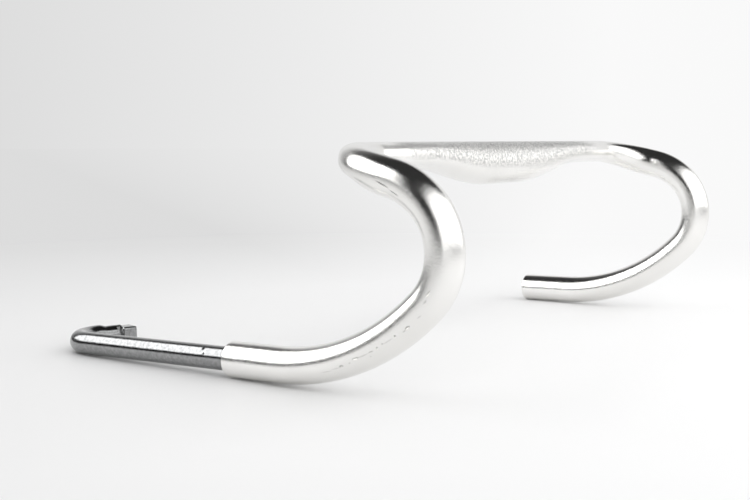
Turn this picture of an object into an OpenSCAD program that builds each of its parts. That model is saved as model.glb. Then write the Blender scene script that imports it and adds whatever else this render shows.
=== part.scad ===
// Road drop handlebar formed from one aluminium tube, with a bent steel rod held in one drop end.
// Millimetres. +X runs along the tops to the rider's left, +Y points to the rear, +Z points up.
// The origin is the centre of the round seat that the stem holds.

/* [Bar] */
// Distance between the centre lines of the two drops
bar_width = 437.5; // [380:0.5:460]
// Outer radius of the round tube in the hooks and drops
tube_r = 11.9; // [11:0.05:13]
// Wall thickness of the tube
wall = 1.7; // [1.4:0.1:2.4]
// Radius of the round seat for the stem
clamp_r = 15.9; // [15:0.05:17.5]
// Length of the round seat for the stem
clamp_len = 46; // [40:1:60]
// Fore and aft depth of the flattened tops
tops_depth = 31; // [27:0.5:31.6]
// Thickness of the flattened tops
tops_thick = 18.2; // [16:0.2:23]
// Distance from the middle where the belly starts to rise
belly_in = 26; // [25:1:40]
// Distance from the middle where the belly has risen to the tops
belly_out = 125; // [90:1:150]

/* [Bends] */
// Radius of the corner between tops and ramp, seen from above
corner_r = 43.6; // [40:1:60]
// How far the ramp drops from the tops to the hook
ramp_fall = 11.3; // [6:0.1:18]
// Length along the corner over which the ramp drops
ramp_len = 60; // [45:1:70]
// Pitch of the ramp where the hook starts
ramp_pitch = 12.8; // [8:0.2:18]
// Radius of the hook's upper bend
hook_top_r = 51.5; // [44:0.5:60]
// Angle of the hook's upper bend
hook_top_a = 30.6; // [20:0.2:40]
// Radius of the hook's front bend
hook_r = 42.2; // [36:0.2:50]
// Angle of the hook's front bend
hook_a = 90.8; // [80:0.2:100]
// Radius of the long bend from the hook to the drop
sweep_r = 155.4; // [120:1:200]
// Straight length at the end of the drop that holds the rod
tail_len = 39.9; // [30:0.1:60]
// How much longer the free drop's straight end is
free_extra = 4; // [0:0.1:8]

/* [Grooves] */
// Depth of the two cable grooves under the tops
groove_d = 1.3; // [0.4:0.1:1.6]
// Angle of each groove's centre from straight down
groove_off = 38; // [25:1:55]
// Half width of each groove as an angle
groove_w = 17; // [12:1:24]
// Distance from the middle where the grooves end
groove_in = 76; // [60:1:110]

/* [Rod] */
// Radius of the steel rod
rod_r = 8; // [7:0.1:9]
// Straight length of the rod from the mouth of the drop to its bend
rod_out = 135.8; // [90:1:180]
// Length of the rod inside the drop
rod_in = 38; // [25:1:41]
// Radius of the rod's bend at its centre line
rod_bend_r = 20.9; // [14:0.1:30]
// Angle of the rod's bend
rod_bend_a = 110; // [90:1:120]
// Radius of the short leg after the bend
leg_r = 6.7; // [5:0.1:7]
// Length over which the rod narrows to the leg
taper_len = 6; // [3:0.5:10]
// Length of the short leg after the bend, with its tip
leg_len = 27.5; // [26:0.5:50]
// Length of the flattened tip
tip_len = 11; // [9:0.5:14]
// Height of the flattened tip
tip_h = 10.4; // [8:0.1:13]
// Width of the flattened tip
tip_w = 14; // [12:0.1:16]
// Chamfer along the tip's edges
tip_chamfer = 2; // [1:0.1:3]
// Width of the notch beside the tip
notch_w = 3; // [2:0.1:4]
// Depth of the notch beside the tip
notch_d = 3.2; // [2:0.1:4]

/* [Bush] */
// Length of the bush between rod and drop
bush_len = 34; // [20:1:38]
// How far the bush sits inside the mouth
bush_inset = 2; // [1:0.5:5]
// Radial gap between the rod and the bush, which is pressed on
bush_gap = 0; // [0:0.01:0.1]
// Radial gap between the bush and the tube, which holds it
seat_gap = 0; // [0:0.01:0.1]

/* [Hidden] */
// Step between the formed body and the round parts that it runs into
seam = 0.06;
// Length by which one body runs into the next
lap = 1;
// Steps round a section, along a corner, and along one half of the tops
n_round = 24;
n_corner = 14;
n_tops = 13;
round_fn = 24;
turn_fn = 48;

half_w = bar_width / 2;
corner_x = half_w - corner_r;
bore_r = tube_r - wall;
tops_z = clamp_r - tops_thick / 2;

// The tail slopes down so that the rod's bend and both drops meet the same floor
tail_slope = asin((tube_r - rod_r) / (rod_out + rod_bend_r));

// Centre line of a drop as [y, z], with headings counted from +Y towards +Z
p0 = [-corner_r, tops_z - ramp_fall];
h0 = 180 + ramp_pitch;
h1 = h0 + hook_top_a;
h2 = h1 + hook_a;
h3 = 360 - tail_slope;
p1 = arc_end(p0, h0, hook_top_r, hook_top_a);
p2 = arc_end(p1, h1, hook_r, hook_a);
p3 = arc_end(p2, h2, sweep_r, h3 - h2);
mouth = p3 + tail_len * heading(h3);

function heading(h) = [cos(h), sin(h)];
function side(h) = [-sin(h), cos(h)];
function arc_end(p, h, r, a) = p + r * side(h) - r * side(h + a);
function smooth(t) = let (u = min(1, max(0, t))) u * u * (3 - 2 * u);
function mix(a, b, t) = a + (b - a) * t;
function power(v, e) = sign(v) * pow(abs(v), e);

// Section of the round tube, with both its faces stepped into the wall by step
module tube_section(step = 0) {
    difference() {
        circle(r = tube_r - step, $fn = round_fn);
        circle(r = bore_r + step, $fn = round_fn);
    }
}

// Frame in the plane of the drop, at a point p with +Y along the heading h
module at_point(p, h) {
    translate([0, p[0], p[1]])
        rotate([90, 0, 90])
            rotate([0, 0, h - 90])
                children();
}

// One bend of round tube that leaves its frame along +Y and turns to -X
module bend(r, a, step = 0) {
    translate([-r, 0, 0])
        rotate_extrude(angle = a, $fn = turn_fn)
            translate([r, 0])
                tube_section(step);
}

// The two bends of the hook, which run on a little way into the drop
module hook() {
    at_point(p1, h1) {
        bend(hook_r, hook_a + lap / hook_r * 180 / PI, seam / 2);
        mirror([0, 1, 0])
            bend(hook_top_r, hook_top_a, seam / 2);
    }
}

// The long bend below the hook, and the straight end with its mouth
module drop(length) {
    at_point(p3, h3) {
        mirror([0, 1, 0])
            bend(sweep_r, h3 - h2);
        rotate([-90, 0, 0])
            linear_extrude(height = length)
                tube_section();
    }
}

// Height of the corner's centre line at a share t of the ramp, and its slope
function ramp_z(t) =
    p0[1] + ramp_len * tan(ramp_pitch) * (t * t * t - 2 * t * t + t) + ramp_fall * smooth(t);
function ramp_slope(t) =
    tan(ramp_pitch) * (3 * t * t - 4 * t + 1) + ramp_fall / ramp_len * (6 * t - 6 * t * t);

// A station is [x, y, z, turn, pitch, half depth, half height, squareness, groove]
function corner_station(i) =
    let (
        f = 90 * i / n_corner,
        t = min(1, corner_r * f * PI / 180 / ramp_len),
        w = smooth((f - 40) / 60)
    )
    [
        corner_x + corner_r * cos(f),
        corner_r * (sin(f) - 1),
        ramp_z(t),
        f,
        atan(ramp_slope(t)),
        mix(tube_r - seam, tops_depth / 2, 0.7 * w),
        mix(tube_r - seam, tops_thick / 2, smooth(1.15 * t - 0.1)),
        mix(2, 2.5, smooth((f - 20) / 60)),
        smooth((f - 6) / 22)
    ];
corner_depth = corner_station(n_corner)[5];
function tops_station(x) =
    let (
        out = smooth((x - belly_in) / (belly_out - belly_in)),
        top = clamp_r - seam,
        low = mix(-top, top - tops_thick, out),
        wide = mix(clamp_r - seam, tops_depth / 2, out)
    )
    [
        x,
        0,
        (top + low) / 2,
        90,
        0,
        mix(wide, corner_depth, smooth((x - belly_out) / max(1, corner_x - belly_out))),
        (top - low) / 2,
        mix(2, 2.5, out),
        smooth((x - groove_in) / 14)
    ];
lead_in = let (s = corner_station(0)) [
    s[0],
    s[1] - lap * cos(ramp_pitch),
    s[2] - lap * sin(ramp_pitch),
    s[3],
    s[4],
    s[5],
    s[6],
    s[7],
    s[8]
];
tops_xs = [for (i = [1:n_tops]) corner_x + (belly_in - corner_x) * i / n_tops];
half_path = [
    lead_in,
    for (i = [0:n_corner]) corner_station(i),
    for (x = tops_xs) tops_station(x)
];
n_half = len(half_path);
n_path = 2 * n_half;

// A point of a station's ring, moved in by the wall thickness, on the side given by sx
function ring_point(s, k, inset, sx) =
    let (
        th = 360 * k / n_round,
        e = 2 / s[7],
        down = abs(th - 270),
        dent = s[8] * groove_d * exp(-pow((down - groove_off) / groove_w, 2)),
        u = (s[5] - inset) * power(cos(th), e) - dent * cos(th),
        v = (s[6] - inset) * power(sin(th), e) - dent * sin(th)
    )
    [
        sx * (s[0] + u * cos(s[3]) + v * sin(s[3]) * sin(s[4])),
        s[1] + u * sin(s[3]) - v * cos(s[3]) * sin(s[4]),
        s[2] + v * cos(s[4])
    ];

// The corners and tops as one closed wall from drop to drop, open at both ends
module formed() {
    points = [
        for (inset = [0, wall])
            for (i = [0:n_path - 1])
                let (right = i >= n_half)
                let (s = half_path[right ? n_path - 1 - i : i])
                for (k = [0:n_round - 1]) ring_point(s, k, inset, right ? -1 : 1)
    ];
    inner = n_path * n_round;
    last = (n_path - 1) * n_round;
    skin = [
        for (i = [0:n_path - 2])
            for (k = [0:n_round - 1])
                let (a = i * n_round + k)
                let (b = i * n_round + (k + 1) % n_round)
                for (f = [[a, b, a + n_round], [b, b + n_round, a + n_round]]) f
    ];
    lining = [for (f = skin) [f[2] + inner, f[1] + inner, f[0] + inner]];
    ends = [
        for (k = [0:n_round - 1])
            let (a = k)
            let (b = (k + 1) % n_round)
            for (f = [
                [b, a, a + inner],
                [b, a + inner, b + inner],
                [last + a, last + b, last + a + inner],
                [last + b, last + b + inner, last + a + inner]
            ]) f
    ];
    polyhedron(points = points, faces = concat(skin, lining, ends), convexity = 6);
}

// The tube: two drops, the formed tops between them, and the round seat for the stem
module bar() {
    color([0.8, 0.81, 0.82]) {
        for (x = [-half_w, half_w])
            translate([x, 0, 0]) {
                hook();
                drop(x > 0 ? tail_len + free_extra : tail_len);
            }
        formed();
        translate([-clamp_len / 2, 0, 0])
            rotate([0, 90, 0])
                difference() {
                    cylinder(r = clamp_r, h = clamp_len, $fn = 2 * round_fn);
                    translate([0, 0, -lap])
                        cylinder(r = clamp_r - wall / 2, h = clamp_len + 2 * lap, $fn = 2 * round_fn);
                }
    }
}

// Frame of the rod: the mouth's centre, with +Y along the rod
module at_mouth() {
    translate([-half_w, mouth[0], mouth[1]])
        rotate([-tail_slope, 0, 0])
            children();
}

// Section of the flattened tip
module tip_section() {
    c = tip_chamfer;
    x = tip_w / 2;
    z = tip_h / 2;
    polygon([
        [-x + c, -z],
        [x - c, -z],
        [x, -z + c],
        [x, z - c],
        [x - c, z],
        [-x + c, z],
        [-x, z - c],
        [-x, -z + c]
    ]);
}

// The short leg, from the end of the bend along +Y, with its inner side on +X
module leg() {
    difference() {
        union() {
            translate([0, -lap, 0])
                rotate([-90, 0, 0])
                    cylinder(r1 = rod_r - seam, r2 = leg_r, h = taper_len + lap, $fn = round_fn);
            rotate([-90, 0, 0])
                cylinder(r = leg_r, h = leg_len - tip_len + lap, $fn = round_fn);
            translate([0, leg_len, 0])
                rotate([90, 0, 0])
                    linear_extrude(height = tip_len)
                        tip_section();
        }
        translate([leg_r - notch_d, leg_len - tip_len - notch_w, -rod_r])
            rotate([12, 0, 0])
                cube([rod_r, notch_w, 3 * rod_r]);
    }
}

// The solid rod: a straight shank, one flat bend, and the short leg
module hook_rod() {
    color([0.5, 0.51, 0.52])
        at_mouth() {
            translate([0, -rod_in, 0])
                rotate([-90, 0, 0])
                    cylinder(r = rod_r, h = rod_in + rod_out, $fn = round_fn);
            translate([rod_bend_r, rod_out, 0])
                mirror([1, 0, 0])
                    rotate_extrude(angle = rod_bend_a, $fn = turn_fn)
                        translate([rod_bend_r, 0])
                            circle(r = rod_r, $fn = round_fn);
            translate([rod_bend_r * (1 - cos(rod_bend_a)), rod_out + rod_bend_r * sin(rod_bend_a), 0])
                rotate([0, 0, -rod_bend_a])
                    leg();
        }
}

// The bush that fills the space between the rod and the drop
module rod_bush() {
    color([0.62, 0.6, 0.55])
        at_mouth()
            translate([0, -bush_inset - bush_len, 0])
                rotate([-90, 0, 0])
                    difference() {
                        cylinder(r = bore_r - seat_gap, h = bush_len, $fn = round_fn);
                        translate([0, 0, -1])
                            cylinder(r = rod_r + bush_gap, h = bush_len + 2, $fn = round_fn);
                    }
}

bar();
hook_rod();
rod_bush();
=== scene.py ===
"""A silver road drop handlebar with a bent steel rod in one drop end, standing on a white studio floor."""

import math
from itertools import pairwise

import bmesh
import bpy
from mathutils import Matrix, Vector


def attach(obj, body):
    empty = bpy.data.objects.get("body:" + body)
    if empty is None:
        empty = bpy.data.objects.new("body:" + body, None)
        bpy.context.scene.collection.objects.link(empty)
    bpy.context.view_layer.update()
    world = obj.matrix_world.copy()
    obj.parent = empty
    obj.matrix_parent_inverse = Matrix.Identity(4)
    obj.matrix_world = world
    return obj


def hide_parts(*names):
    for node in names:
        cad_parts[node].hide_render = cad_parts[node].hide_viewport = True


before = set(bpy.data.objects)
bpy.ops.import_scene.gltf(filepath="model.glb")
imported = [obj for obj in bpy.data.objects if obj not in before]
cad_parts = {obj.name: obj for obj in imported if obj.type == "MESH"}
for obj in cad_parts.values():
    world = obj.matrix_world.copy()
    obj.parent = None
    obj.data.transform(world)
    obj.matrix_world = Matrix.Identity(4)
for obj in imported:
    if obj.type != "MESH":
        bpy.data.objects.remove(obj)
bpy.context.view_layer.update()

# Sizes in millimetres, as in the part's source. MM turns them into the scene's metres.
MM = 0.001
BAR_WIDTH = 437.5
TUBE_R = 11.9
WALL = 1.7
CLAMP_R = 15.9
TOPS_DEPTH = 31.0
TOPS_THICK = 18.2
BELLY_IN = 26.0
BELLY_OUT = 125.0
CORNER_R = 43.6
RAMP_FALL = 11.3
RAMP_LEN = 60.0
RAMP_PITCH = 12.8
HOOK_TOP_R = 51.5
HOOK_TOP_A = 30.6
HOOK_R = 42.2
HOOK_A = 90.8
SWEEP_R = 155.4
TAIL_LEN = 39.9
FREE_EXTRA = 4.0
GROOVE_D = 1.3
GROOVE_OFF = 38.0
GROOVE_W = 17.0
GROOVE_IN = 76.0
ROD_R = 8.0
ROD_OUT = 135.8
ROD_IN = 38.0
ROD_BEND_R = 20.9
ROD_BEND_A = 110.0
LEG_R = 6.7
TAPER_LEN = 6.0
LEG_LEN = 27.5
TIP_LEN = 11.0
TIP_H = 10.4
TIP_W = 14.0
TIP_CHAMFER = 2.0
NOTCH_W = 3.0
NOTCH_D = 3.2
NOTCH_LEAN = 12.0

# Millimetres and degrees that the part's source doesn't have
TIP_EDGE = 0.7
RIM_ROUND = 0.5
BORE_SHOWN = 60.0
DIMPLE_X = -86.0
DIMPLE_ANGLE = 236.0
DIMPLE_REACH = 5.0
DIMPLE_DEPTH = 0.5
DIMPLE_WIDE = 22.0
GRAIN_LEFT = 165.0
GRAIN_RIGHT = -168.0
GRAIN_FINE = 0.24

HALF_W = BAR_WIDTH / 2
CORNER_X = HALF_W - CORNER_R
TOPS_Z = CLAMP_R - TOPS_THICK / 2
TAIL_SLOPE = math.degrees(math.asin((TUBE_R - ROD_R) / (ROD_OUT + ROD_BEND_R)))
TOPS_SQUARE = 2.5

# Points round a ring, length between rings, and rings along the corner, tops, bend and leg
RING = 64
STEP = 2.6
CORNER_RINGS = 36
TOPS_RINGS = 64
BEND_RINGS = 36
LEG_RINGS = 12


def sin(a):
    return math.sin(math.radians(a))


def cos(a):
    return math.cos(math.radians(a))


def smooth(t):
    u = min(1.0, max(0.0, t))
    return u * u * (3 - 2 * u)


def bell(x, reach):
    return math.exp(-((x / reach) ** 2))


def mix(a, b, t):
    return a + (b - a) * t


def power(v, e):
    return math.copysign(abs(v) ** e, v)


# ---- Path of one half of the bar: stations from the mouth to the middle ----


class Station:
    """A cross section: centre, turn seen from above, pitch, half depth, half height, squareness, groove."""

    def __init__(self, x, y, z, turn, pitch, depth, height, square=2.0, groove=0.0):
        self.at = (x, y, z)
        self.turn = turn
        self.pitch = pitch
        self.depth = depth
        self.height = height
        self.square = square
        self.groove = groove

    def point(self, angle, inset, side):
        """A point of the ring, mirrored to the other half of the bar by side."""
        e = 2 / self.square
        down = abs(angle - 270)
        dent = self.groove * GROOVE_D * math.exp(-(((down - GROOVE_OFF) / GROOVE_W) ** 2))
        u = (self.depth - inset) * power(cos(angle), e) - dent * cos(angle)
        v = (self.height - inset) * power(sin(angle), e) - dent * sin(angle)
        x, y, z = self.at
        return Vector(
            (
                side * (x + u * cos(self.turn) + v * sin(self.turn) * sin(self.pitch)),
                y + u * sin(self.turn) - v * cos(self.turn) * sin(self.pitch),
                z + v * cos(self.pitch),
            )
        ) * MM


def arc_stations(p, heading, radius, angle):
    """Stations along a bend of the drop that starts at p, and its end."""
    count = max(4, round(radius * math.radians(angle) / STEP))
    centre = (p[0] - radius * sin(heading), p[1] + radius * cos(heading))
    out = []
    for i in range(count):
        h = heading + angle * i / count
        y = centre[0] + radius * sin(h)
        z = centre[1] - radius * cos(h)
        out.append(Station(HALF_W, y, z, 0, h - 180, TUBE_R, TUBE_R))
    end = heading + angle
    return out, (centre[0] + radius * sin(end), centre[1] - radius * cos(end))


def ramp_z(t):
    fall = RAMP_LEN * math.tan(math.radians(RAMP_PITCH)) * (t**3 - 2 * t * t + t)
    return TOPS_Z - RAMP_FALL + fall + RAMP_FALL * smooth(t)


def ramp_slope(t):
    start = math.tan(math.radians(RAMP_PITCH)) * (3 * t * t - 4 * t + 1)
    return start + RAMP_FALL / RAMP_LEN * (6 * t - 6 * t * t)


def corner_station(f):
    t = min(1.0, CORNER_R * math.radians(f) / RAMP_LEN)
    return Station(
        CORNER_X + CORNER_R * cos(f),
        CORNER_R * (sin(f) - 1),
        ramp_z(t),
        f,
        math.degrees(math.atan(ramp_slope(t))),
        mix(TUBE_R, TOPS_DEPTH / 2, 0.7 * smooth((f - 40) / 60)),
        mix(TUBE_R, TOPS_THICK / 2, smooth(1.15 * t - 0.1)),
        mix(2, TOPS_SQUARE, smooth((f - 20) / 60)),
        smooth((f - 6) / 22),
    )


def tops_station(x):
    out = smooth((x - BELLY_IN) / (BELLY_OUT - BELLY_IN))
    low = mix(-CLAMP_R, CLAMP_R - TOPS_THICK, out)
    wide = mix(CLAMP_R, TOPS_DEPTH / 2, out)
    share = smooth((x - BELLY_OUT) / max(1, CORNER_X - BELLY_OUT))
    return Station(
        x,
        0,
        (CLAMP_R + low) / 2,
        90,
        0,
        mix(wide, corner_station(90).depth, share),
        (CLAMP_R - low) / 2,
        mix(2, TOPS_SQUARE, out),
        smooth((x - GROOVE_IN) / 14),
    )


def half_bar(tail_len):
    """Stations from the mouth to the middle of the bar, and the mouth's place as (y, z)."""
    p, h = (-CORNER_R, TOPS_Z - RAMP_FALL), 180 + RAMP_PITCH
    drop = []
    for radius, angle in (
        (HOOK_TOP_R, HOOK_TOP_A),
        (HOOK_R, HOOK_A),
        (SWEEP_R, 360 - TAIL_SLOPE - 180 - RAMP_PITCH - HOOK_TOP_A - HOOK_A),
    ):
        part, p = arc_stations(p, h, radius, angle)
        drop += part
        h += angle
    count = round(tail_len / STEP)
    for i in range(count + 1):
        s = tail_len * i / count
        drop.append(Station(HALF_W, p[0] + s * cos(h), p[1] + s * sin(h), 0, h - 180, TUBE_R, TUBE_R))
    mouth = (p[0] + tail_len * cos(h), p[1] + tail_len * sin(h))
    corner = [corner_station(90 * i / CORNER_RINGS) for i in range(1, CORNER_RINGS + 1)]
    tops = [tops_station(CORNER_X * (1 - i / TOPS_RINGS)) for i in range(1, TOPS_RINGS + 1)]
    return drop[::-1] + corner + tops, mouth


# ---- Meshes ----


def add_ring(bm, points):
    return [bm.verts.new(p) for p in points]


def bridge(bm, a, b):
    n = len(a)
    for i in range(n):
        bm.faces.new((a[i], a[(i + 1) % n], b[(i + 1) % n], b[i]))


def finish_mesh(name, bm, material, smooth_faces=True):
    bmesh.ops.recalc_face_normals(bm, faces=bm.faces)
    mesh = bpy.data.meshes.new(name)
    bm.to_mesh(mesh)
    bm.free()
    for f in mesh.polygons:
        f.use_smooth = smooth_faces
    obj = bpy.data.objects.new(name, mesh)
    bpy.context.scene.collection.objects.link(obj)
    mesh.materials.append(material)
    return obj


def ring_of(station, inset, side, pull=0.0):
    """A ring's points, drawn back along the drop by pull where the mouth's rim is rounded."""
    back = Vector((0, cos(station.pitch), sin(station.pitch))) * pull * MM
    points = []
    for k in range(RING):
        angle = 360 * k / RING
        along = bell(side * station.at[0] - DIMPLE_X, DIMPLE_REACH)
        dent = DIMPLE_DEPTH * along * bell(angle - DIMPLE_ANGLE, DIMPLE_WIDE)
        points.append(station.point(angle, inset + dent, side) + back)
    return points


def grain_of(station, angle, side):
    """How coarse the skin is: coarse on the front and top of the tops, fine in the drops."""
    x = side * station.at[0]
    on_tops = smooth((GRAIN_LEFT - x) / 40) * smooth((x - GRAIN_RIGHT) / 30)
    facing = smooth((angle - 70) / 30) * smooth((205 - angle) / 25)
    return mix(GRAIN_FINE, 1.0, on_tops * facing)


def mouth_rings(station, side):
    """The rounded rim of a mouth, from the bore to the outer face."""
    r = RIM_ROUND
    steps = (0, 30, 60, 90)
    inner = [(WALL - r + r * cos(a), r - r * sin(a)) for a in steps]
    outer = [(r - r * sin(a), r - r * cos(a)) for a in steps]
    return [ring_of(station, inset, side, pull) for inset, pull in inner + outer]


def make_bar(material):
    right, _ = half_bar(TAIL_LEN)
    left, _ = half_bar(TAIL_LEN + FREE_EXTRA)
    bm = bmesh.new()
    grain = bm.verts.layers.float.new("grain")

    def ring(points, station, side):
        verts = add_ring(bm, points)
        for k, v in enumerate(verts):
            v[grain] = grain_of(station, 360 * k / RING, side)
        return verts

    def bore(stations, side):
        depth, used = 0.0, []
        for a, b in pairwise(stations):
            depth += (Vector(b.at) - Vector(a.at)).length
            if depth > BORE_SHOWN:
                break
            used.append(b)
        return [ring(ring_of(s, WALL, side), s, side) for s in used[::-1]]

    def mouth(station, side):
        return [ring(points, station, side) for points in mouth_rings(station, side)]

    rings = bore(right, -1) + mouth(right[0], -1)
    rings += [ring(ring_of(s, 0, -1), s, -1) for s in right[1:]]
    rings += [ring(ring_of(s, 0, 1), s, 1) for s in left[-2:0:-1]]
    rings += mouth(left[0], 1)[::-1] + bore(left, 1)[::-1]
    for a, b in pairwise(rings):
        bridge(bm, a, b)
    bm.faces.new(rings[0])
    bm.faces.new(rings[-1])
    return finish_mesh("bar_skin", bm, material)


def rod_frame():
    """Matrix of the rod's own frame: the right mouth's centre, with +Y along the rod."""
    _, mouth = half_bar(TAIL_LEN)
    place = Matrix.Translation(Vector((-HALF_W, mouth[0], mouth[1])) * MM)
    return place @ Matrix.Rotation(math.radians(-TAIL_SLOPE), 4, "X")


def rod_section(centre, turn, half_w, half_h, corner):
    """A rounded rectangle across the rod, whose corner radius makes it a circle where it is largest."""
    points = []
    side = Vector((cos(turn), -sin(turn), 0))
    for k in range(RING):
        a = 360 * (k + 0.5) / RING
        x = math.copysign(half_w - corner, cos(a)) + corner * cos(a)
        z = math.copysign(half_h - corner, sin(a)) + corner * sin(a)
        points.append((centre + side * x + Vector((0, 0, z))) * MM)
    return points


def make_rod(material):
    bm = bmesh.new()
    rings = []
    rings.append(rod_section(Vector((0, -ROD_IN, 0)), 0, ROD_R - 1, ROD_R - 1, ROD_R - 1))
    shank = round((ROD_IN + ROD_OUT) / STEP)
    for i in range(shank + 1):
        y = -ROD_IN + 1 + (ROD_IN + ROD_OUT - 1) * i / shank
        rings.append(rod_section(Vector((0, y, 0)), 0, ROD_R, ROD_R, ROD_R))
    for i in range(1, BEND_RINGS + 1):
        a = ROD_BEND_A * i / BEND_RINGS
        end = Vector((ROD_BEND_R * (1 - cos(a)), ROD_OUT + ROD_BEND_R * sin(a), 0))
        rings.append(rod_section(end, a, ROD_R, ROD_R, ROD_R))
    ahead = Vector((sin(ROD_BEND_A), cos(ROD_BEND_A), 0))
    neck = LEG_LEN - TIP_LEN
    for i in range(1, LEG_RINGS + 1):
        s = neck * i / LEG_RINGS
        r = mix(ROD_R, LEG_R, smooth(s / TAPER_LEN))
        rings.append(rod_section(end + ahead * s, ROD_BEND_A, r, r, r))
    tip_w, tip_h, edge = TIP_W / 2, TIP_H / 2, TIP_EDGE
    for s, w, h, c in (
        (neck + 0.05, tip_w - edge, tip_h - edge, TIP_CHAMFER - edge / 2),
        (neck + edge, tip_w, tip_h, TIP_CHAMFER),
        (neck + TIP_LEN / 2, tip_w, tip_h, TIP_CHAMFER),
        (LEG_LEN - 2 * edge, tip_w, tip_h, TIP_CHAMFER),
        (LEG_LEN - edge / 2, tip_w - edge / 2, tip_h - edge / 2, TIP_CHAMFER - edge / 4),
        (LEG_LEN, tip_w - 2 * edge, tip_h - 2 * edge, TIP_CHAMFER - edge),
    ):
        rings.append(rod_section(end + ahead * s, ROD_BEND_A, w, h, c))
    verts = [add_ring(bm, r) for r in rings]
    for a, b in pairwise(verts):
        bridge(bm, a, b)
    bm.faces.new(verts[0])
    bm.faces.new(verts[-1])
    bmesh.ops.transform(bm, matrix=rod_frame(), verts=bm.verts)
    rod = finish_mesh("rod_skin", bm, material)
    cut_notch(rod, end, ahead, neck)
    return rod


def cut_notch(rod, end, ahead, neck):
    """Cuts the slanting notch between the leg and its tip."""
    side = Vector((cos(ROD_BEND_A), -sin(ROD_BEND_A), 0))
    bm = bmesh.new()
    bmesh.ops.create_cube(bm, size=1)
    reach = 2 * ROD_R
    size = Vector((reach, NOTCH_W, 3 * ROD_R)) * MM
    bmesh.ops.scale(bm, vec=size, verts=bm.verts)
    centre = (end + ahead * (neck - NOTCH_W / 2) + side * (LEG_R - NOTCH_D + reach / 2)) * MM
    axes = Matrix((side, ahead, Vector((0, 0, 1)))).transposed().to_4x4()
    lean = Matrix.Rotation(math.radians(NOTCH_LEAN), 4, "X")
    place = rod_frame() @ Matrix.Translation(centre) @ axes @ lean
    bmesh.ops.transform(bm, matrix=place, verts=bm.verts)
    mesh = bpy.data.meshes.new("notch")
    bm.to_mesh(mesh)
    bm.free()
    cutter = bpy.data.objects.new("notch", mesh)
    bpy.context.scene.collection.objects.link(cutter)
    mod = rod.modifiers.new("notch", "BOOLEAN")
    mod.operation = "DIFFERENCE"
    mod.solver = "EXACT"
    mod.object = cutter
    dg = bpy.context.evaluated_depsgraph_get()
    cut = bpy.data.meshes.new_from_object(rod.evaluated_get(dg))
    rod.modifiers.clear()
    rod.data = cut
    bpy.data.objects.remove(cutter)
    rod.data.set_sharp_from_angle(angle=math.radians(35))


# ---- Materials ----


class Nodes:
    """A short way to build a node tree."""

    def __init__(self, tree):
        self.tree = tree

    def add(self, kind, **inputs):
        """A node of this kind. Inputs are given by name, or by number as i0, i1 and so on."""
        node = self.tree.nodes.new(kind)
        for key, value in inputs.items():
            self.put(node, key, value)
        return node

    def put(self, node, key, value):
        """Joins a socket to a node's input, or sets the input to a plain value."""
        numbered = key[0] == "i" and key[1:].isdigit()
        socket = node.inputs[int(key[1:])] if numbered else node.inputs[key]
        if isinstance(value, bpy.types.NodeSocket):
            self.tree.links.new(value, socket)
        elif socket.type == "RGBA" and len(value) == 3:
            socket.default_value = (*value, 1)
        else:
            socket.default_value = value

    def math(self, kind, a, b=0.0):
        node = self.add("ShaderNodeMath", i0=a, i1=b)
        node.operation = kind
        return node.outputs[0]

    def vector(self, kind, a, b=(0.0, 0.0, 0.0)):
        node = self.add("ShaderNodeVectorMath", i0=a, i1=b)
        node.operation = kind
        return node.outputs["Value" if kind in ("DOT_PRODUCT", "LENGTH") else "Vector"]

    def coords(self):
        return self.add("ShaderNodeTexCoord").outputs["Object"]

    def noise(self, at, scale, detail=2.0, rough=0.5):
        node = self.add("ShaderNodeTexNoise", Vector=at, Scale=scale, Detail=detail, Roughness=rough)
        return node.outputs["Fac"]

    def ramp(self, value, low, high, out_low=0.0, out_high=1.0):
        """Value carried from low..high to out_low..out_high, and held at the ends."""
        node = self.add("ShaderNodeMapRange", Value=value)
        for key, v in (("From Min", low), ("From Max", high), ("To Min", out_low), ("To Max", out_high)):
            node.inputs[key].default_value = v
        return node.outputs["Result"]

    def colour(self, value, under, over):
        """The colour under where value is 0, and over where it is 1."""
        node = self.tree.nodes.new("ShaderNodeMix")
        node.data_type = "RGBA"
        for key, v in (("i0", value), ("i6", under), ("i7", over)):
            self.put(node, key, v)
        return node.outputs[2]


class Material(Nodes):
    """The node tree of a new material, with its shader."""

    def __init__(self, name):
        self.material = bpy.data.materials.new(name)
        self.material.use_nodes = True
        super().__init__(self.material.node_tree)
        self.shader = self.tree.nodes["Principled BSDF"]

    def look(self, key, value):
        self.put(self.shader, key, value)

    def bump(self, height, distance):
        node = self.add("ShaderNodeBump", Height=height, Distance=distance, Strength=1.0)
        self.look("Normal", node.outputs[0])


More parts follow.
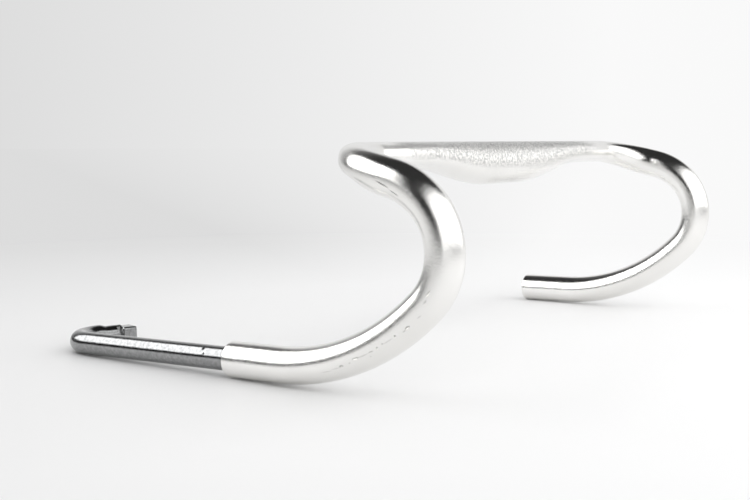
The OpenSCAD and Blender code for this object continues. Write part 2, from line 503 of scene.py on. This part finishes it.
# Nicks and scratches of the near drop and corner: steps from the right mouth, angle round the tube,
# half length, half width, lean from the tube's direction, strength
NICKS = (
    (96.9, 346, 5.2, 0.22, 8, 0.56),
    (93.0, 337, 3.6, 0.22, 4, 0.56),
    (36.0, 19.5, 1.9, 0.55, 12, 0.56),
    (38.4, 20, 1.0, 0.5, 0, 0.31),
    (40.5, 13.5, 3.0, 0.4, 6, 0.5),
    (45.0, 17, 2.2, 0.25, 5, 0.37),
    (46.9, 16, 0.7, 0.55, 0, 0.56),
    (48.6, 14.5, 0.5, 0.4, 0, 0.37),
    (52.4, 17.5, 0.7, 0.55, 0, 0.62),
    (55.0, 24, 1.6, 0.3, 10, 0.31),
    (56.2, 22, 2.2, 0.5, 14, 0.62),
    (63.6, 10, 1.6, 0.3, 5, 0.31),
    (65.6, 6, 2.8, 0.4, 8, 0.56),
    (31.5, 24, 5.0, 0.22, 3, 0.22),
    (34.6, 22, 5.0, 0.22, 3, 0.22),
    (42.6, 16, 5.0, 0.22, 3, 0.25),
    (50.2, 18, 5.0, 0.22, 3, 0.22),
    (44.2, 29, 0.6, 0.4, 0, 0.31),
    (27.0, 352, 0.5, 0.4, 0, 0.31),
    (60.0, 24, 2.0, 0.25, 10, 0.22),
)

# Pits in the rod's shank: place and radius
ROD_PITS = (
    ((-223.8, 99.6, -119.7), 1.6),
    ((-226.0, 97.6, -122.5), 1.0),
)
NICK_THICK = 0.6
NICK_DEEP = 0.7
NICK_ROUGH = 0.3
NICK_TONE = (0.2, 0.185, 0.165)
SKIN_TONES = (0.86, 0.852, 0.832), (0.9, 0.893, 0.875)
SKIN_ROUGH = 0.11, 0.14
SKIN_RELIEF = 0.6
PIT_SHARE = 0.75
PEEL_SHARE = 0.1
FLECK_TONE = (0.42, 0.42, 0.41)
FLECK_SHARE = 0.6
STEEL_TONES = (0.24, 0.243, 0.245), (0.36, 0.363, 0.365)
STEEL_ROUGH = 0.08, 0.15
STEEL_RELIEF = 0.06
ROD_PIT_TONE = (0.01, 0.01, 0.01)
BUSH_TONES = (0.35, 0.34, 0.32), (0.5, 0.49, 0.46)
BUSH_ROUGH = 0.35, 0.55


def spot_mask(n, at, centre, turn, size, strength):
    """Strength inside a small ellipsoid and 0 outside it."""
    place = n.add("ShaderNodeMapping", Vector=at, Location=centre, Rotation=turn, Scale=size)
    place.vector_type = "TEXTURE"
    return n.ramp(n.vector("LENGTH", place.outputs[0]), 1.0, 0.5, 0.0, strength)


def nick_mask(n, at, nick):
    """A nick: an ellipsoid lying in the skin, along the tube and leaning a little."""
    step, angle, half_len, half_wide, lean, strength = nick
    stations, _ = half_bar(TAIL_LEN)
    i = int(step)

    def skin(k, a):
        return stations[k].point(a, 0, -1)

    centre = skin(i, angle).lerp(skin(i + 1, angle), step - i)
    along = (skin(i + 1, angle) - skin(i - 1, angle)).normalized()
    round_it = (skin(i, angle + 5) - skin(i, angle - 5)).normalized()
    way = (along * cos(lean) + round_it * sin(lean)).normalized()
    turn = way.to_track_quat("X", "Z").to_euler()
    size = Vector((half_len, half_wide, max(half_wide, NICK_THICK))) * MM
    return spot_mask(n, at, centre, turn, size, strength)


def pit_mask(n, at, pit):
    """A round pit."""
    centre, radius = pit
    return spot_mask(n, at, Vector(centre) * MM, (0, 0, 0), Vector((radius,) * 3) * MM, 1.0)


def all_marks(n, at, mask, marks):
    """The strongest of many marks at each place."""
    total = 0.0
    for mark in marks:
        total = n.math("MAXIMUM", mask(n, at, mark), total)
    return total


def aluminium():
    """Satin silver with pits and flecks where the grain is coarse, and nicks."""
    n = Material("satin_aluminium")
    at = n.coords()
    coarse = n.add("ShaderNodeAttribute")
    coarse.attribute_name = "grain"
    coarse = coarse.outputs["Fac"]
    patches = n.noise(at, 22, 2)
    pits = n.noise(at, 700, 4, 0.78)
    peel = n.noise(at, 420, 2, 0.5)
    marks = all_marks(n, at, nick_mask, NICKS)
    tone = n.colour(n.ramp(patches, 0.35, 0.65), *SKIN_TONES)
    flecks = n.ramp(n.noise(at, 560, 3, 0.75), 0.52, 0.42)
    flecks = n.math("MULTIPLY", flecks, n.ramp(coarse, 0.5, 1.0, 0.0, FLECK_SHARE))
    tone = n.colour(flecks, tone, FLECK_TONE)
    n.look("Base Color", n.colour(marks, tone, NICK_TONE))
    n.look("Metallic", 1.0)
    rough = n.ramp(patches, 0.3, 0.7, *SKIN_ROUGH)
    n.look("Roughness", n.math("ADD", rough, n.math("MULTIPLY", marks, NICK_ROUGH)))
    height = n.math("ADD", n.math("MULTIPLY", pits, PIT_SHARE), n.math("MULTIPLY", peel, PEEL_SHARE))
    height = n.math("SUBTRACT", n.math("MULTIPLY", height, coarse), n.math("MULTIPLY", marks, NICK_DEEP))
    n.bump(height, SKIN_RELIEF * MM)
    return n.material


def steel():
    """Darkened, mottled steel with two pits."""
    n = Material("darkened_steel")
    at = n.coords()
    mottle = n.noise(at, 420, 4, 0.7)
    tone = n.colour(n.ramp(mottle, 0.35, 0.68), *STEEL_TONES)
    n.look("Base Color", n.colour(all_marks(n, at, pit_mask, ROD_PITS), tone, ROD_PIT_TONE))
    n.look("Metallic", 1.0)
    n.look("Roughness", n.ramp(mottle, 0.3, 0.7, *STEEL_ROUGH))
    n.bump(n.noise(at, 1500, 2, 0.6), STEEL_RELIEF * MM)
    return n.material


def plain_bush():
    n = Material("bush_metal")
    at = n.coords()
    n.look("Base Color", n.colour(n.noise(at, 300, 3), *BUSH_TONES))
    n.look("Metallic", 1.0)
    n.look("Roughness", n.ramp(n.noise(at, 900, 2), 0.3, 0.7, *BUSH_ROUGH))
    return n.material


# ---- The object ----

bar = make_bar(aluminium())
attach(bar, "root")
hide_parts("bar")
rod = make_rod(steel())
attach(rod, "root")
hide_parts("hook_rod")
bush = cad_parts["rod_bush"]
bush.data.materials.clear()
bush.data.materials.append(plain_bush())

# ---- Floor, backdrop and room ----


def grey(level):
    return (level,) * 3


_, MOUTH = half_bar(TAIL_LEN)
FLOOR_Z = MOUTH[1] - TUBE_R * cos(TAIL_SLOPE)
# Metres: the floor's radius, and where it starts and ends turning into the backdrop's grey
FLOOR_SIZE = 14.0
FLOOR_NEAR = 0.35
FLOOR_FAR = 1.0
# The direction in which the painted shade of floor and backdrop gets lighter, and the span over which it
# does
PAINTED_LIGHTER_WAY = (0.557, -0.831, 0.0)
SHADE_FROM = -0.33
SHADE_TO = 0.2
# Painted shade of the floor's colour, from its darker side to its lighter one
FLOOR_PAINTED_SHADE_TONES = grey(0.80), grey(0.94)
# Painted shade of the backdrop's glow, from its darker side to its lighter one
BACKDROP_PAINTED_SHADE_TONES = grey(0.72), grey(0.95)
# What the metal reflects: a dark room with a dim side, something grey low down, and a pale wall.
# Each way is an azimuth, with the cosines where it starts and is full, and each top is an elevation.
ROOM_TONE = grey(0.03)
SIDE_WAY = (65.0, 0.5, 0.8)
SIDE_TONE = grey(0.15)
LOW_WAY = (-110.0, 0.3, 0.7)
LOW_TOP = 9.0
LOW_TONE = grey(0.4)
WALL_WAY = (8.0, 0.25, 0.75)
WALL_TOP = 34.0
WALL_TONE = grey(0.86)
TOP_BLUR = 0.05


def painted_side_shade(n, way):
    """Painted shade: 0 to 1 from the studio's darker side to its lighter one, for a direction or a place in
    metres.
    """
    return n.ramp(n.vector("DOT_PRODUCT", way, PAINTED_LIGHTER_WAY), SHADE_FROM, SHADE_TO)


def floor_material():
    """White near the part, with painted shade from one side to the other, turning into the backdrop's grey
    further out.
    """
    n = Material("white_floor")
    at = n.coords()
    far = n.ramp(n.vector("LENGTH", at), FLOOR_NEAR, FLOOR_FAR)
    # painted shade: the floor's colour is darker on one side and lighter on the other
    n.look("Base Color", n.colour(painted_side_shade(n, at), *FLOOR_PAINTED_SHADE_TONES))
    n.look("Roughness", 0.45)
    n.look("Specular IOR Level", 0.2)
    path = n.add("ShaderNodeLightPath")
    seen = n.math("MAXIMUM", path.outputs["Is Camera Ray"], path.outputs["Is Glossy Ray"])
    # painted shade: the glowing backdrop far out is darker on one side
    backdrop = n.colour(painted_side_shade(n, n.vector("NORMALIZE", at)), *BACKDROP_PAINTED_SHADE_TONES)
    glow = n.add("ShaderNodeEmission", Color=backdrop, Strength=1.0)
    share = n.math("MULTIPLY", far, seen)
    both = n.add("ShaderNodeMixShader", i0=share, i1=n.shader.outputs[0], i2=glow.outputs[0])
    n.tree.links.new(both.outputs[0], n.tree.nodes["Material Output"].inputs["Surface"])
    return n.material


def make_floor():
    bm = bmesh.new()
    bmesh.ops.create_circle(bm, cap_ends=True, segments=96, radius=FLOOR_SIZE)
    floor = finish_mesh("floor", bm, floor_material(), False)
    floor.location.z = FLOOR_Z * MM


def make_world():
    """The pale backdrop that the camera sees, with painted shade from one side to the other, and the room
    that the metal reflects.
    """
    world = bpy.data.worlds.new("studio")
    bpy.context.scene.world = world
    world.use_nodes = True
    n = Nodes(world.node_tree)
    way = n.add("ShaderNodeTexCoord").outputs["Generated"]
    up = n.add("ShaderNodeSeparateXYZ", Vector=way).outputs[2]

    def toward(azimuth, outer, inner):
        return n.ramp(n.vector("DOT_PRODUCT", way, (cos(azimuth), sin(azimuth), 0)), outer, inner)

    def below(top):
        return n.ramp(up, sin(top) + TOP_BLUR, sin(top) - TOP_BLUR)

    room = n.colour(toward(*SIDE_WAY), ROOM_TONE, SIDE_TONE)
    room = n.colour(n.math("MULTIPLY", toward(*LOW_WAY), below(LOW_TOP)), room, LOW_TONE)
    room = n.colour(n.math("MULTIPLY", toward(*WALL_WAY), below(WALL_TOP)), room, WALL_TONE)
    # painted shade: the backdrop the camera sees is darker on one side
    backdrop = n.colour(painted_side_shade(n, way), *BACKDROP_PAINTED_SHADE_TONES)
    camera_ray = n.add("ShaderNodeLightPath").outputs["Is Camera Ray"]
    back = n.tree.nodes["Background"]
    n.put(back, "Color", n.colour(camera_ray, room, backdrop))
    n.put(back, "Strength", 1.0)


make_floor()
make_world()

# ---- Lamps ----


def soft_panel(name, at, azimuth, down, width, height, shine, light):
    """A soft rectangle that looks along azimuth and down: metal reflects shine, and the floor gets light."""
    look = Vector((cos(down) * cos(azimuth), cos(down) * sin(azimuth), -sin(down)))
    for suffix, radiance, in_metal in (("_shine", shine, True), ("_light", light, False)):
        if not radiance:
            continue
        data = bpy.data.lights.new(name + suffix, "AREA")
        data.shape = "RECTANGLE"
        data.size = width
        data.size_y = height
        data.energy = radiance * math.pi * width * height
        lamp = bpy.data.objects.new(name + suffix, data)
        bpy.context.scene.collection.objects.link(lamp)
        lamp.location = at
        lamp.rotation_euler = look.to_track_quat("-Z", "Y").to_euler()
        lamp.visible_camera = False
        lamp.visible_glossy = in_metal
        lamp.visible_diffuse = not in_metal


soft_panel("left_panel", (-0.64, 0.816, 0.61), -47.5, 24, 1.33, 0.96, 3.2, 3.2)
soft_panel("right_panel", (-0.46, -1.02, 0.77), 85.8, 21.3, 5.0, 1.46, 1.4, 3.2)
soft_panel("top_fill", (0.0, 0.0, 2.2), 0, 90, 5.0, 5.0, 0, 0.97)

# ---- Camera ----

# The photo's camera, in millimetres from a point on the floor below the stem seat
CAMERA_AT = (-775.65, -406.2, 156.33)
CAMERA_YAW = -56.156
CAMERA_DOWN = 5.666
CAMERA_ROLL = 0.103
FOCAL_PX = 1139.99
IMAGE_W = 750
SENSOR = 36.0


def make_camera():
    camera = bpy.data.objects.new("camera", bpy.data.cameras.new("camera"))
    bpy.context.scene.collection.objects.link(camera)
    camera.data.sensor_width = SENSOR
    camera.data.lens = FOCAL_PX / IMAGE_W * SENSOR
    camera.data.clip_start = 0.05
    camera.location = (Vector(CAMERA_AT) + Vector((0, 0, FLOOR_Z))) * MM
    turns = (90 - CAMERA_DOWN, -CAMERA_ROLL, CAMERA_YAW)
    camera.rotation_euler = [math.radians(a) for a in turns]
    return camera


bpy.context.scene.camera = make_camera()
bpy.context.scene.view_settings.view_transform = "Standard"
